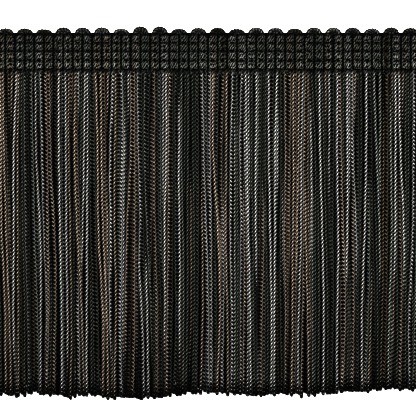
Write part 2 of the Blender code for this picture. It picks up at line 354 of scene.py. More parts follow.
class Nodes:
    """A small helper that adds and joins nodes in one node tree."""

    def __init__(self, tree: bpy.types.NodeTree) -> None:
        """Keep the tree to work on."""
        self.tree = tree

    def add(self, kind: str, **settings: object) -> bpy.types.Node:
        """Add a node.

        Args:
            kind: the node's type name.
            settings: properties to set on it.

        Returns:
            The new node.
        """
        node = self.tree.nodes.new(kind)
        for name, value in settings.items():
            setattr(node, name, value)
        return node

    def join(self, output: bpy.types.NodeSocket, socket: bpy.types.NodeSocket) -> None:
        """Link an output to an input socket."""
        self.tree.links.new(output, socket)

    def math(self, operation: str, first: bpy.types.NodeSocket | float,
             second: bpy.types.NodeSocket | float) -> bpy.types.NodeSocket:
        """Add a Math node.

        Args:
            operation: the operation's name.
            first, second: each an output socket or a number.

        Returns:
            The node's output.
        """
        node = self.add("ShaderNodeMath", operation=operation)
        for index, value in enumerate((first, second)):
            if isinstance(value, bpy.types.NodeSocket):
                self.join(value, node.inputs[index])
            else:
                node.inputs[index].default_value = value
        return node.outputs[0]

    def mix(self, factor: bpy.types.NodeSocket | float, first: bpy.types.NodeSocket | tuple,
            second: bpy.types.NodeSocket | tuple, blend: str = "MIX") -> bpy.types.NodeSocket:
        """Add a colour Mix node.

        Args:
            factor, first, second: each an output socket or a value.
            blend: the blend type.

        Returns:
            The mixed colour.
        """
        node = self.add("ShaderNodeMix", data_type="RGBA", blend_type=blend)
        for name, value in (("Factor_Float", factor), ("A_Color", first), ("B_Color", second)):
            socket = next(item for item in node.inputs if item.identifier == name)
            if isinstance(value, bpy.types.NodeSocket):
                self.join(value, socket)
            else:
                socket.default_value = value
        return next(item for item in node.outputs if item.identifier == "Result_Color")


class SpunYarnGroup:
    """The shader group that all the yarns share: twisted fibres and a heathered tone.

    It reads the piece's own UV map, in which U goes once round the yarn and V runs
    along it in millimetres. Fibres are a wave across a slanted direction, broken up by
    noise; the heather is a slow noise along the yarn.
    """

    NAME = "spun_yarn"

    @classmethod
    def tree(cls) -> bpy.types.NodeTree:
        """Build the group once.

        Returns:
            The group's node tree.
        """
        if cls.NAME in bpy.data.node_groups:
            return bpy.data.node_groups[cls.NAME]
        group = bpy.data.node_groups.new(cls.NAME, "ShaderNodeTree")
        face = group.interface
        for name, value in (("Plies", 4.0), ("Twist", 0.7), ("Fuzz", 0.35)):
            socket = face.new_socket(name=name, in_out="INPUT", socket_type="NodeSocketFloat")
            socket.default_value = value
        for name in ("Fibre", "Heather"):
            face.new_socket(name=name, in_out="OUTPUT", socket_type="NodeSocketFloat")
        nodes = Nodes(group)
        inputs = nodes.add("NodeGroupInput")
        outputs = nodes.add("NodeGroupOutput")
        place = nodes.add("ShaderNodeUVMap", uv_map="yarn")
        split = nodes.add("ShaderNodeSeparateXYZ")
        nodes.join(place.outputs["UV"], split.inputs[0])
        around = nodes.math("MULTIPLY", split.outputs["X"], inputs.outputs["Plies"])
        along = nodes.math("MULTIPLY", split.outputs["Y"], inputs.outputs["Twist"])
        slanted = nodes.math("ADD", around, along)
        grain = nodes.add("ShaderNodeTexNoise", noise_dimensions="2D")
        grain.inputs["Scale"].default_value = 9.0
        grain.inputs["Detail"].default_value = 3.0
        nodes.join(place.outputs["UV"], grain.inputs["Vector"])
        loose = nodes.math("MULTIPLY", grain.outputs[0], inputs.outputs["Fuzz"])
        phase = nodes.math("MULTIPLY", nodes.math("ADD", slanted, loose), math.tau)
        wave = nodes.math("SINE", phase, 0.0)
        fibre = nodes.math("MULTIPLY_ADD", wave, 0.5)
        fibre.node.inputs[2].default_value = 0.5
        nodes.join(fibre, outputs.inputs["Fibre"])
        tone = nodes.add("ShaderNodeTexNoise", noise_dimensions="2D")
        tone.inputs["Scale"].default_value = 0.9
        tone.inputs["Detail"].default_value = 2.0
        nodes.join(place.outputs["UV"], tone.inputs["Vector"])
        nodes.join(tone.outputs[0], outputs.inputs["Heather"])
        return group


@dataclass(frozen=True)
class YarnFinish:
    """One dyed yarn: its colours between and on top of the fibres, whose difference is painted shade
    between the fibres and also the yarn's heathered tone, and how it shines.
    """

    name: str
    hollow: tuple[float, float, float, float]
    crown: tuple[float, float, float, float]
    roughness: float = 0.8
    sheen: float = 0.03
    plies: float = 4.0

    def material(self) -> bpy.types.Material:
        """Build the yarn's material.

        The crown and hollow colours are mixed by the fibres, which paints shade between them, and by the
        heather, the yarn's own tone; shifted by each cord's own tint; and darkened by the painted shade
        that the mesh carries where a stitch dips between its neighbours.

        Returns:
            The material.
        """
        if self.name in bpy.data.materials:
            return bpy.data.materials[self.name]
        made = bpy.data.materials.new(self.name)
        made.use_nodes = True
        nodes = Nodes(made.node_tree)
        shader = made.node_tree.nodes["Principled BSDF"]
        shader.inputs["Roughness"].default_value = self.roughness
        shader.inputs["Sheen Weight"].default_value = self.sheen
        shader.inputs["Sheen Roughness"].default_value = 0.5
        shader.inputs["Specular IOR Level"].default_value = 0.03
        spun = nodes.add("ShaderNodeGroup")
        spun.node_tree = SpunYarnGroup.tree()
        spun.inputs["Plies"].default_value = self.plies
        tint = nodes.add("ShaderNodeAttribute", attribute_name="tint")
        shade = nodes.add("ShaderNodeAttribute", attribute_name="shade")
        # The fibre wave paints shade between the fibres; the heather and the tint are the yarn's own
        # tone.
        level = nodes.math("MULTIPLY", spun.outputs["Fibre"], 0.45)
        heather = nodes.math("MULTIPLY", spun.outputs["Heather"], 0.75)
        level = nodes.math("ADD", level, heather)
        level = nodes.math("ADD", level, tint.outputs["Fac"])
        level.node.use_clamp = True
        colour = nodes.mix(level, self.hollow, self.crown)
        # Painted shade: the mesh's shade attribute darkens the base colour.
        dimmed = nodes.mix(1.0, colour, shade.outputs["Color"], "MULTIPLY")
        nodes.join(dimmed, shader.inputs["Base Color"])
        bump = nodes.add("ShaderNodeBump")
        bump.inputs["Strength"].default_value = 0.5
        bump.inputs["Distance"].default_value = 0.03 * MM
        nodes.join(spun.outputs["Fibre"], bump.inputs["Height"])
        nodes.join(bump.outputs["Normal"], shader.inputs["Normal"])
        return made


FINISHES = {
    Yarn.TAN: YarnFinish("tan_yarn", srgb(154, 144, 132), srgb(240, 226, 209)),
    Yarn.BROWN: YarnFinish("brown_yarn", srgb(108, 100, 86), srgb(178, 165, 142)),
    Yarn.SILVER: YarnFinish("silver_yarn", srgb(212, 211, 208), srgb(246, 245, 241), 0.75, 0.05),
    Yarn.GREY: YarnFinish("grey_yarn", srgb(148, 152, 145), srgb(214, 219, 210)),
    Yarn.DARK: YarnFinish("dark_green_yarn", srgb(88, 92, 85), srgb(152, 158, 146)),
    Yarn.THREAD: YarnFinish("black_thread", srgb(8, 8, 9), srgb(26, 27, 26), 0.7, 0.02),
}


class Route:
    """A path in space, measured by its own length."""

    def __init__(self, points: np.ndarray, side: tuple[float, float, float]) -> None:
        """Measure the path.

        Args:
            points: places along the path, one row each.
            side: a direction that the path never runs along; the frame's first axis
                is this direction made square to the path.
        """
        self.points = np.asarray(points, dtype=float)
        steps = np.linalg.norm(np.diff(self.points, axis=0), axis=1)
        self.marks = np.concatenate(((0.0,), np.cumsum(steps)))
        self.length = float(self.marks[-1])
        self.side = np.array(side)

    def at(self, distance: np.ndarray) -> np.ndarray:
        """Places at these distances along the path."""
        return np.stack([np.interp(distance, self.marks, values) for values in self.points.T], axis=1)

    def frames(self, distance: np.ndarray) -> tuple[np.ndarray, np.ndarray, np.ndarray, np.ndarray]:
        """The path's places, directions, side axes and outward axes.

        Args:
            distance: distances along the path.

        Returns:
            Four arrays of rows. The direction is a central difference over a fifth of a
            millimetre each way, and the outward axis is direction x side.
        """
        reach = 0.2 * MM
        ahead = self.at(distance + reach) - self.at(distance - reach)
        ahead /= np.linalg.norm(ahead, axis=1, keepdims=True) + 1e-12
        across = self.side - ahead * (ahead @ self.side)[:, None]
        across /= np.linalg.norm(across, axis=1, keepdims=True)
        return self.at(distance), ahead, across, np.cross(ahead, across)


@dataclass
class Strands:
    """Tubes gathered for one mesh: their rings of points, UVs and painted shading values."""

    rings: list[np.ndarray] = field(default_factory=list)
    lengths: list[np.ndarray] = field(default_factory=list)
    tints: list[float] = field(default_factory=list)
    shades: list[np.ndarray] = field(default_factory=list)

    def add(self, rings: np.ndarray, along: np.ndarray, tint: float, shade: np.ndarray) -> None:
        """Add one tube.

        Args:
            rings: points of each ring, shape (rings, sides, 3).
            along: distance along the yarn of each ring, in metres.
            tint: the cord's own shift of tone.
            shade: each point's painted light, shape (rings, sides).
        """
        self.rings.append(rings)
        self.lengths.append(along)
        self.tints.append(tint)
        self.shades.append(shade)

    @staticmethod
    def _faces(count: int, sides: int, start: int) -> tuple[np.ndarray, np.ndarray]:
        """Join neighbouring rings with quads.

        Args:
            count: the number of rings.
            sides: the number of points of each.
            start: the number of the first point.

        Returns:
            The quads' corners, and for each quad the number of its first ring.
        """
        ring = np.arange(count - 1)[:, None] * sides
        corner = np.arange(sides)[None, :]
        after = (corner + 1) % sides
        quads = np.stack((ring + corner, ring + after, ring + sides + after, ring + sides + corner), 2)
        return quads.reshape(-1, 4) + start, np.arange(count - 1).repeat(sides)

    def mesh(self, name: str) -> bpy.types.Mesh:
        """Join the tubes into one mesh with closed ends.

        Quads join each ring to the next, and a cap closes each end. U goes once round
        the yarn and V is the distance along it in millimetres.

        Args:
            name: the mesh's name.

        Returns:
            The mesh, with its UV map, tints and painted shades.
        """
        points = np.concatenate([rings.reshape(-1, 3) for rings in self.rings])
        loops, totals, uvs, start = [], [], [], 0
        for rings, along in zip(self.rings, self.lengths):
            count, sides = rings.shape[:2]
            quads, ring = self._faces(count, sides, start)
            side = np.tile(np.arange(sides), count - 1)
            u = np.stack((side, side + 1, side + 1, side), 1) / sides
            v = np.stack((along[ring], along[ring], along[ring + 1], along[ring + 1]), 1) / MM
            loops.append(quads.ravel())
            totals.append(np.full(len(quads), 4))
            uvs.append(np.stack((u, v), 2).reshape(-1, 2))
            first = start + np.arange(sides)[::-1]
            last = start + (count - 1) * sides + np.arange(sides)
            for cap, place in ((first, along[0]), (last, along[-1])):
                loops.append(cap)
                totals.append(np.array((sides,)))
                uvs.append(np.tile((0.5, place / MM), (sides, 1)))
            start += count * sides
        corners = np.concatenate(loops)
        total = np.concatenate(totals)
        mesh = bpy.data.meshes.new(name)
        mesh.vertices.add(len(points))
        mesh.vertices.foreach_set("co", points.ravel())
        mesh.loops.add(len(corners))
        mesh.loops.foreach_set("vertex_index", corners)
        mesh.polygons.add(len(total))
        mesh.polygons.foreach_set("loop_start", np.concatenate(((0,), np.cumsum(total)[:-1])))
        mesh.polygons.foreach_set("loop_total", total)
        mesh.update(calc_edges=True)
        mesh.uv_layers.new(name="yarn").data.foreach_set("uv", np.concatenate(uvs).ravel())
        sizes = [rings.shape[0] * rings.shape[1] for rings in self.rings]
        self._attribute(mesh, "tint", np.repeat(self.tints, sizes))
        # The shade attribute is painted light and shade, multiplied into the base colour.
        self._attribute(mesh, "shade", np.concatenate([shade.ravel() for shade in self.shades]))
        mesh.validate()
        mesh.shade_smooth()
        return mesh

    @staticmethod
    def _attribute(mesh: bpy.types.Mesh, name: str, values: np.ndarray) -> None:
        """Put one number for each point on the mesh."""
        mesh.attributes.new(name, "FLOAT", "POINT").data.foreach_set("value", values)


def mount(mesh: bpy.types.Mesh, node: str) -> bpy.types.Object:
    """Make a mesh a piece of the trim, of its own name, and log it.

    Args:
        mesh: the mesh, with its material.
        node: the CAD node that it stands for.

    Returns:
        The piece.
    """
    piece = bpy.data.objects.new(mesh.name, mesh)
    bpy.context.scene.collection.objects.link(piece)
    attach(piece, BODY)
    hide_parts(node)
    LOG.info("%s: %d triangles", mesh.name, triangles(mesh))
    return piece


def triangles(mesh: bpy.types.Mesh) -> int:
    """The number of triangles in a mesh."""
    return sum(len(face.vertices) - 2 for face in mesh.polygons)


def put(name: str, strands: Strands, finish: YarnFinish, node: str) -> bpy.types.Object:
    """Make strands a piece of the trim.

    Args:
        name: the piece's name.
        strands: its tubes.
        finish: its yarn.
        node: the CAD node that it stands for.

    Returns:
        The piece.
    """
    mesh = strands.mesh(name)
    mesh.materials.append(finish.material())
    return mount(mesh, node)


@dataclass(frozen=True)
class Chainette:
    """A chain knitted yarn: one ply that loops to and fro round its own line.

    Over one stitch the ply goes once round a circle about the cord's line. Where the
    knit faces front, it reaches a hook's length further along the cord at both sides of
    that circle, and its arms make a V. Where the knit lies turned, it reaches further on
    one side only, and shows as slanting bars.
    """

    pitch: float = 1.58 * MM
    radius: float = 0.54 * MM
    hook: float = 1.15 * MM
    slant: float = 0.54 * MM
    ply: float = 0.29 * MM
    steps: int = 5
    sides: int = 3
    # Share of painted light left at the ply's foot, in the crevices.
    crevice: float = 0.24

    def tube(self, route: Route, turn: tuple[float, float, float], lean: int, start: float = 0.0,
             stop: float | None = None) -> tuple[np.ndarray, np.ndarray, np.ndarray]:
        """Knit the cord along a route.

        With a the angle round the cord from its front and r the stitch's own turn, which
        sways once in each sway length, the ply stands radius x (-sin a, cos a) off the
        line and lean x hook x cos^2 r x (1 - cos 2a) / 2 + slant x sin r x sin a further
        along it.

        Its painted light is a smooth step of (cos a + 0.02) / 0.8, up to 15% less on the side that faces
        right, and falls by up to 60% from the ply's outer ridge to its foot, where the crevice share of
        it is left as painted shade.

        Args:
            route: the cord's own line.
            turn: the stitch's mean turn, the sway of it and its phase, in radians.
            lean: 1 or -1, which way the V of the stitches points.
            start, stop: distances along the route.

        Returns:
            The rings' points, the distance along the yarn of each ring, and each point's painted light.
        """
        stop = route.length if stop is None else stop
        count = int((stop - start) / self.pitch * self.steps) + 1
        a = np.arange(count) * math.tau / self.steps
        base = start + np.arange(count) * self.pitch / self.steps
        mean, sway, phase = turn
        sway_length = 61.0 * MM
        r = mean + sway * np.sin(phase + base * math.tau / sway_length)
        reach = lean * self.hook * np.cos(r) ** 2 * (1.0 - np.cos(2.0 * a)) / 2.0
        reach = reach + self.slant * np.sin(r) * np.sin(a)
        place, ahead, across, out = route.frames(np.clip(base + reach, start, stop))
        line = place + self.radius * (np.cos(a)[:, None] * out - np.sin(a)[:, None] * across)
        rings = sweep(line, -ahead, self.ply, self.sides)
        # Painted light and shade: brighter where the ply faces out, a little dimmer on the right, darker
        # down into the crevices.
        facing = smooth_step((np.cos(a) + 0.02) / 0.80)
        facing = facing * (1.0 - 0.15 * np.maximum(0.0, -np.sin(a) * across[:, 0]))
        ridge = 0.5 - 0.5 * np.cos(math.pi + np.arange(self.sides) * math.tau / self.sides)
        raised = self.crevice + (1.0 - self.crevice) * (1.0 - 0.60 * (1.0 - ridge))
        yarn = np.concatenate(((0.0,), np.cumsum(np.linalg.norm(np.diff(line, axis=0), axis=1))))
        return rings, yarn, facing[:, None] * raised[None, :]


def sweep(line: np.ndarray, axis: np.ndarray, radius: float, sides: int) -> np.ndarray:
    """Carry a round profile along a line.

    Args:
        line: the points of the line.
        axis: for each point, a direction that the line doesn't run along.
        radius: the profile's radius, one number or one for each point.
        sides: its number of corners.

    Returns:
        The rings' points, shape (points, sides, 3). The first corner stands opposite
        the line's direction x axis, and the others go round from it by equal angles.
    """
    ahead = np.gradient(line, axis=0)
    ahead /= np.linalg.norm(ahead, axis=1, keepdims=True) + 1e-12
    first = np.cross(ahead, axis)
    first /= np.linalg.norm(first, axis=1, keepdims=True) + 1e-12
    second = np.cross(ahead, first)
    angle = math.pi + np.arange(sides) * math.tau / sides
    size = np.broadcast_to(np.asarray(radius, dtype=float), (len(line),))[:, None, None]
    corner = np.cos(angle)[None, :, None] * first[:, None, :]
    corner = corner + np.sin(angle)[None, :, None] * second[:, None, :]
    return line[:, None, :] + size * corner


def smooth_step(value: np.ndarray) -> np.ndarray:
    """0 up to 0, 1 from 1 on, and 3v^2 - 2v^3 between."""
    value = np.clip(value, 0.0, 1.0)
    return value * value * (3.0 - 2.0 * value)


def glide(share: np.ndarray, values: np.ndarray) -> np.ndarray:
    """Pass smoothly through values one unit apart.

    Between two values, with t from 0 to 1, the curve is the cubic that leaves and meets
    them with the slopes of the central differences of all the values.

    Args:
        share: places along the values, from 0 to their number less one.
        values: the values to pass through.

    Returns:
        The curve at each place.
    """
    slopes = np.gradient(values)
    first = np.minimum(share.astype(int), len(values) - 2)
    t = share - first
    rise = values[first + 1] - values[first]
    bend = slopes[first] + slopes[first + 1] - 2.0 * rise
    return values[first] + t * (slopes[first] + t * (3.0 * rise - 2.0 * slopes[first]
                                                     - slopes[first + 1] + t * bend))


@dataclass
class Fringe:
    """The cords: each a chainette loop, down the front and back up behind."""

    chain: Chainette = Chainette()
    under_chain: Chainette = Chainette(radius=0.54 * MM, ply=0.26 * MM)
    back_chain: Chainette = Chainette(pitch=2.30 * MM, radius=0.50 * MM, steps=4, ply=0.30 * MM)
    root_row: float = 67.5
    station_rows: tuple[float, ...] = (74.0, 150.0, 232.0, 312.0, 388.0)
    high_level: float = 2.85 * MM
    front_level: float = 2.35 * MM
    under_level: float = 1.40 * MM
    back_level: float = 0.86 * MM
    root_level: float = 1.30 * MM
    unevenness: float = 0.45 * MM
    step: float = 0.85 * MM
    overhang: float = 0.80 * MM
    long_overhang: float = 0.90 * MM
    long_share: float = 0.10
    bar_share: float = 0.60
    upward_share: float = 0.30
    edge_columns: tuple[float, ...] = (-22, 0, 20, 35, 46, 75, 100, 106, 130, 155, 170, 188, 230, 245,
                                       270, 284, 330, 345, 370, 380, 416, 438)
    edge_rows: tuple[float, ...] = (395.4, 395.6, 395.4, 392.6, 394.8, 395.8, 395.6, 397.4, 398.2, 397.6,
                                    395.6, 393.4, 393.2, 394.8, 394.6, 393.6, 393.8, 391.4, 391.0, 389.4,
                                    389.0, 389.6)
    seed: int = 41

    def foot_y(self, column: float) -> float:
        """The fringe's lower edge at a column: straight runs between measured places."""
        return float(PHOTO.y(np.interp(column, self.edge_columns, self.edge_rows)))

    def route(self, cord: Cord, behind: float, short: float,
              chance: np.random.Generator) -> tuple[Route, float]:
        """One cord's line from its root to its foot, round and back up to its root.

        Sideways it glides through the chart's five columns, with a slow sway. In height
        it comes up from the root, eases between the charted levels, turns back in a half
        circle and returns on the back level, where it moves within three millimetres to
        its place in an even row. A few cords hang longer than the fringe's edge.

        Args:
            cord: the cord's row of the chart.
            behind: its place along the trim on the way back.
            short: how much higher than the fringe's edge it ends.
            chance: the source of its unevenness.

        Returns:
            The route, and the distance along it at which the turn is done.
        """
        turn_radius = (self.front_level - self.back_level) / 2
        knob = self.chain.radius + self.chain.ply + turn_radius
        longer = self.long_overhang * (chance.random() < self.long_share) + self.overhang - short
        end = self.foot_y(cord.foot) + knob + chance.uniform(-1.0, 1.0) * self.unevenness - longer
        start = PHOTO.y(self.root_row)
        y = np.linspace(start, end, 150)
        rows = PHOTO.row(y)
        share = np.interp(rows, self.station_rows, np.arange(5.0))
        x = PHOTO.x(glide(share, cord.columns))
        sway = 0.08 * MM * np.sin(math.tau * (share * chance.uniform(0.3, 0.6) + chance.random()))
        sway = sway + 0.06 * MM * np.sin(math.tau * (share * chance.uniform(1.2, 2.4) + chance.random()))
        offset = math.copysign(0.13 * MM, short - 0.1 * MM) + chance.uniform(-0.06, 0.06) * MM
        levels = {
            Depth.HIGH: self.high_level + offset,
            Depth.FRONT: self.front_level + offset,
            Depth.UNDER: self.under_level,
        }
        heights = np.array([levels[Depth(letter)] for letter in cord.depths])
        ease = np.floor(share) + smooth_step(share - np.floor(share))
        z = np.interp(ease, np.arange(5.0), heights)
        z = z + (self.root_level - z) * (1.0 - smooth_step((rows - self.root_row) / 6.5))
        down = np.stack((x + sway, y, z), 1)
        radius = (z[-1] - self.back_level) / 2
        angle = np.linspace(0.0, math.pi, 14)[1:]
        last = x[-1] + sway[-1]
        turn = np.stack((
            np.full_like(angle, last),
            end - radius * np.sin(angle),
            z[-1] - radius * (1.0 - np.cos(angle)),
        ), 1)
        rise = np.linspace(end, start, 60)[1:]
        aside = last + (behind - last) * smooth_step((rise - end) / (3.0 * MM))
        back = np.stack((aside, rise, np.full_like(rise, self.back_level)), 1)
        turned = Route(np.vstack((down, turn)), (1.0, 0.0, 0.0))
        whole = Route(np.vstack((down, turn, back)), (1.0, 0.0, 0.0))
        return whole, turned.length + 1.0 * MM

    def shade(self, rings: np.ndarray, light: np.ndarray, foot: float) -> np.ndarray:
        """Each point's painted light.

        The stitches' own painted light is dimmed by painted shade between the layers, under the
        heading's last row, a little over the lower half, and most over the last millimetres at the foot.

        Args:
            rings: the leg's points.
            light: the stitches' own painted light.
            foot: the cord's lowest place.

        Returns:
            The painted light of each point.
        """
        height = rings[..., 2]
        # Painted shade between the layers, under the heading, over the lower half and near the foot.
        front = smooth_step((height - 1.98 * MM) / (0.9 * MM))
        behind = smooth_step((0.9 * MM - height) / (0.6 * MM))
        end = smooth_step((rings[..., 1] - foot - 1.1 * MM) / (1.3 * MM))
        end = end * (1.0 - 0.22 * smooth_step((PHOTO.y(215.0) - rings[..., 1]) / (66.0 * MM)))
        root = smooth_step((PHOTO.y(70.5) - rings[..., 1]) / (2.4 * MM))
        root = np.maximum(root, behind)
        return light * np.maximum(front, behind) * (0.24 + 0.76 * end) * (0.12 + 0.88 * root)

    def dark_fill_tube(self, route: Route, start: float) -> tuple[np.ndarray, np.ndarray, np.ndarray]:
        """A dark tube on a cord's line through its foot and back leg: painted shade that closes the view
        through the open stitches, not yarn of a real cord.

        Its radius grows round the foot. Its painted shade is near black between the layers and at the
        foot, and it has painted light of its own colour underneath.

        Args:
            route: the cord's own line.
            start: the distance along it at which the tube starts.

        Returns:
            The rings' points, the distance along the tube, and each point's painted light.
        """
        bend = start + np.linspace(0.0, 1.0, 20) * 14.5 * MM
        reach = np.concatenate((bend, np.linspace(bend[-1], route.length - 0.5 * MM, 8)[1:]))
        place, _, across, _ = route.frames(reach)
        near = smooth_step((6.5 * MM - np.abs(reach - start - 7.5 * MM)) / (3.0 * MM))
        rings = sweep(place, across, (0.53 + 0.24 * near) * MM, 5)
        # Painted shade: near black on top and round the foot, lighter on the underside.
        under = smooth_step((0.74 * MM - rings[..., 2]) / (0.34 * MM))
        return rings, reach, 0.004 + 0.55 * under * (1.0 - near)[:, None]

    def build(self) -> list[bpy.types.Object]:
        """Knit every charted cord and join those of one yarn on one half.

        Every other cord ends higher. The bar share of the cords lie turned and show bars,
        and the rest face front and show a V, which points up on the upward share of them.
        A cord that lies mostly under the others is thinner.

        Returns:
            The pieces, one for each yarn on each half.
        """
        chance = np.random.default_rng(self.seed)
        groups: dict[tuple[Yarn, str], Strands] = {}
        order = sorted(CORDS, key=lambda cord: cord.foot)
        places = np.linspace(-94.0, 94.0, len(order)) * MM
        for number, (cord, behind) in enumerate(zip(order, places)):
            half = "left" if cord.root < PHOTO.middle_column else "right"
            strands = groups.setdefault((cord.yarn, half), Strands())
            route, turned = self.route(cord, behind, self.step * (number % 2), chance)
            lean = 1 if chance.random() < self.upward_share else -1
            sway = chance.uniform(0.05, 0.30)
            barred = chance.random() < self.bar_share
            mean = chance.uniform(1.05, 1.40) if barred else chance.uniform(0.0, 0.2)
            turn = (mean, sway, chance.uniform(0.0, math.tau))
            head = chance.uniform(0.0, self.chain.pitch)
            tint = chance.uniform(-0.14, 0.14) - 0.4 * cord.darker
            knit = self.under_chain if cord.depths.count(Depth.UNDER.value) > 2 else self.chain
            foot = route.points[:, 1].min() - self.chain.radius - self.chain.ply
            # A dark tube of painted shade fills the foot and back leg.
            rings, along, light = self.dark_fill_tube(route, turned - 8.5 * MM)
            strands.add(rings, along, tint, light)
            for leg, first, last in ((knit, head, turned), (self.back_chain, turned, None)):
                rings, along, light = leg.tube(route, turn, lean, first, last)
                # The stitches' painted light, dimmed by painted shade.
                strands.add(rings, along, tint, self.shade(rings, light, foot))
        return [
            put(f"{yarn.name.lower()}_cords_{half}", strands, FINISHES[yarn], "fringe")
            for (yarn, half), strands in groups.items()
        ]


@dataclass(frozen=True)
class Nest:
    """One of the nested loops over a scallop: its half widths in columns, its height, its painted light,
    and whether it is of the lighter yarn.
    """

    below: float
    arch: float
    level: float
    light: float
    light_yarn: bool


@dataclass
class Heading:
    """The knitted heading: ground, yarn columns, side cords, scallops and bindings."""

    scallops: int = 24
    pitch: float = 7.9 * MM
    foot_row: float = 71.5
    cut_row: float = 31.0
    binding_rows: tuple[float, ...] = (34.2, 43.2, 51.6, 60.6, 69.9)
    arch_row: float = 33.2
    thickness: float = 2.1 * MM
    curl: Chainette = Chainette(1.60 * MM, 0.44 * MM, 1.20 * MM, 0.50 * MM, 0.22 * MM, 7)
    flank: Chainette = Chainette(1.50 * MM, 0.32 * MM, 1.10 * MM, 0.45 * MM, 0.21 * MM, 6)
    loop: Chainette = Chainette(1.30 * MM, 0.27 * MM, 1.00 * MM, 0.35 * MM, 0.21 * MM, 6)
    thread: Chainette = Chainette(1.975 * MM, 0.26 * MM, 1.0 * MM, 0.0, 0.24 * MM, 6, crevice=0.3)
    nests: tuple[Nest, ...] = (
        Nest(8.2, 7.05, 1.70 * MM, 0.30, False),
        Nest(6.2, 5.25, 2.00 * MM, 0.52, True),
        Nest(4.2, 3.45, 1.95 * MM, 0.46, False),
        Nest(2.2, 1.60, 1.85 * MM, 0.40, True),
    )
    split_scallops: tuple[int, ...] = (3, 16)
    tan_scallops: tuple[int, ...] = (2, 3, 12, 16)
    crest_rows: tuple[float, ...] = (28, 28.4, 28.6, 29.4, 27.8, 28, 27.6, 28.8, 26.8, 26.8, 28.8, 28.2,
                                     28, 29.2, 27.8, 28, 28.6, 27.6, 28, 28, 28.8, 27.8, 28.4, 28)
    seed: int = 7

    def centres(self) -> np.ndarray:
        """The scallops' places along the trim."""
        return (np.arange(self.scallops) - (self.scallops - 1) / 2) * self.pitch

    def cell_swell(self, rows: np.ndarray) -> np.ndarray:
        """0 at each binding row and 1 in the middle of each cell: the square of a sine."""
        share = np.interp(rows, self.binding_rows, np.arange(len(self.binding_rows)))
        return np.sin(math.pi * (share - np.floor(share))) ** 2 * (rows >= self.binding_rows[0])

    def ground(self) -> bpy.types.Object:
        """The knitted ground: a closed sheet that swells under each column.

        The front is thickness x (0.45 + 0.55 x column swell), where the swell is a
        raised cosine across each half scallop. The outline rises to each crest as the
        root of 1 - d^2.6, with d the distance from the scallop's middle over its half
        width. The back is level and just off the surface.

        Returns:
            The ground.
        """
        across, up = self.scallops * 12 + 1, 16
        span = self.scallops * self.pitch
        u = np.linspace(-span / 2, span / 2, across)
        v = np.linspace(0.0, 1.0, up)
        phase = u / self.pitch + self.scallops / 2
        half_width, valley_row = 7.6 * PHOTO.pixel, 32.5
        beside = np.abs(phase % 1.0 - 0.5) * self.pitch / half_width
        arch = np.sqrt(np.maximum(0.0, 1.0 - beside ** 2.6))
        crest = np.array(self.crest_rows)[np.minimum(phase.astype(int), self.scallops - 1)]
        top = PHOTO.y(valley_row) + arch * (valley_row - crest) * PHOTO.pixel
        foot = PHOTO.y(self.foot_row)
        y = foot + v[:, None] * (top - foot)[None, :]
        x = np.broadcast_to(u, y.shape)
        swell = 0.5 - 0.5 * np.cos(math.tau * 2.0 * phase)
        rim = smooth_step(np.minimum(v, 1.0 - v) / 0.06)[:, None]
        front = 0.25 * MM + (self.thickness - 0.25 * MM) * (0.45 + 0.55 * swell[None, :]) * rim
        back = np.full_like(front, 0.12 * MM)
        points = np.concatenate((np.stack((x, y, front), 2).reshape(-1, 3),
                                 np.stack((x, y, back), 2).reshape(-1, 3)))
        grid = np.arange(up * across).reshape(up, across)
        quad = np.stack((grid[:-1, :-1], grid[:-1, 1:], grid[1:, 1:], grid[1:, :-1]), 2).reshape(-1, 4)
        rim_loop = np.concatenate((grid[0, :-1], grid[:-1, -1], grid[-1, :0:-1], grid[:0:-1, 0]))
        after = np.roll(rim_loop, -1)
        shift = up * across
        wall = np.stack((rim_loop, rim_loop + shift, after + shift, after), 1)
        faces = np.concatenate((quad, quad[:, ::-1] + shift, wall))
        mesh = bpy.data.meshes.new("heading_ground")
        mesh.from_pydata(points.tolist(), [], faces.tolist())
        mesh.uv_layers.new(name="yarn")
        corner = np.empty(len(mesh.loops), dtype=np.int32)
        mesh.loops.foreach_get("vertex_index", corner)
        mesh.uv_layers["yarn"].data.foreach_set("uv", (points[corner, :2] / MM).ravel())
        mesh.validate()
        mesh.shade_smooth()
        mesh.materials.append(GroundFinish().material())
        return mount(mesh, "heading")

    def column_yarns(self, column: float) -> tuple[Yarn, Yarn]:
        """The two yarns that show in a column: those of the nearest cords below it.

        Args:
            column: the column's middle in the photograph.

        Returns:
            Its left and its right yarn, with grey for dark.
        """
        fronts = [cord for cord in CORDS if cord.depths[0] != Depth.UNDER.value]
        found = []
        for place in (column - 2.2, column + 2.2):
            nearest = min(fronts, key=lambda cord: abs(cord.root - place))
            found.append(nearest.yarn)
        return tuple(Yarn.GREY if yarn is Yarn.DARK else yarn for yarn in found)

    def knit(self, chain: Chainette, line: np.ndarray,
             chance: np.random.Generator) -> tuple[np.ndarray, np.ndarray, np.ndarray]:
        """Knit a chainette up the heading, with its lean and its turn left to chance.

        Args:
            chain: its stitch.
            line: its line.
            chance: the source of its unevenness.

        Returns:
            What the stitch's tube returns.
        """
        lean = 1 if chance.random() < 0.5 else -1
        turn = (chance.uniform(0.3, 1.3), 0.6, chance.uniform(0.0, math.tau))
        return chain.tube(Route(line, (-1.0, 0.0, 0.0)), turn, lean)

    def rank(self, rings: np.ndarray) -> np.ndarray:
        """Each point's painted shade by its row: the heading is painted darker upwards."""
        return np.interp(rings[..., 1], PHOTO.y(np.array((70.0, 38.0))), (1.0, 0.62))

    def depth(self, rings: np.ndarray) -> np.ndarray:
        """Each point's painted shade by its height: the cinched rows are painted dark."""
        return 0.05 + 0.95 * smooth_step((rings[..., 2] - 1.5 * MM) / (0.9 * MM))

